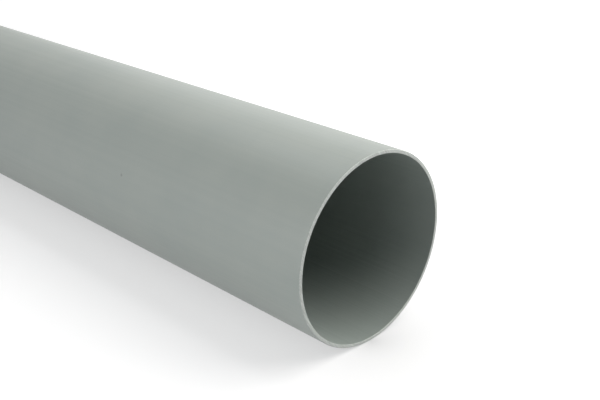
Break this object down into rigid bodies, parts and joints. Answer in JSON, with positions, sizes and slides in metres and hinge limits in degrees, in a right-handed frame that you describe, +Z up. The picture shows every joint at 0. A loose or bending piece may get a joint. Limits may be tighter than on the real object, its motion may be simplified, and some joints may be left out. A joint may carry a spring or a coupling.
{
  "type": "round downpipe",
  "caption": "Straight round rainwater downpipe, a thin-walled grey plastic tube open at both square-cut ends, for sockets and pipe clips.",
  "frame": {"origin": "on the level surface the pipe lies on, under the middle of its length", "axes": "+X along the pipe's axis, towards the end seen open from the front right; +Z up; +Y across the pipe"},
  "size_m": [1, 0.0998, 0.1],
  "materials": {
    "grey_pvc": "satin"
  },
  "bodies": {
    "root": {"pipe": "grey_pvc"}
  },
  "joints": []
}
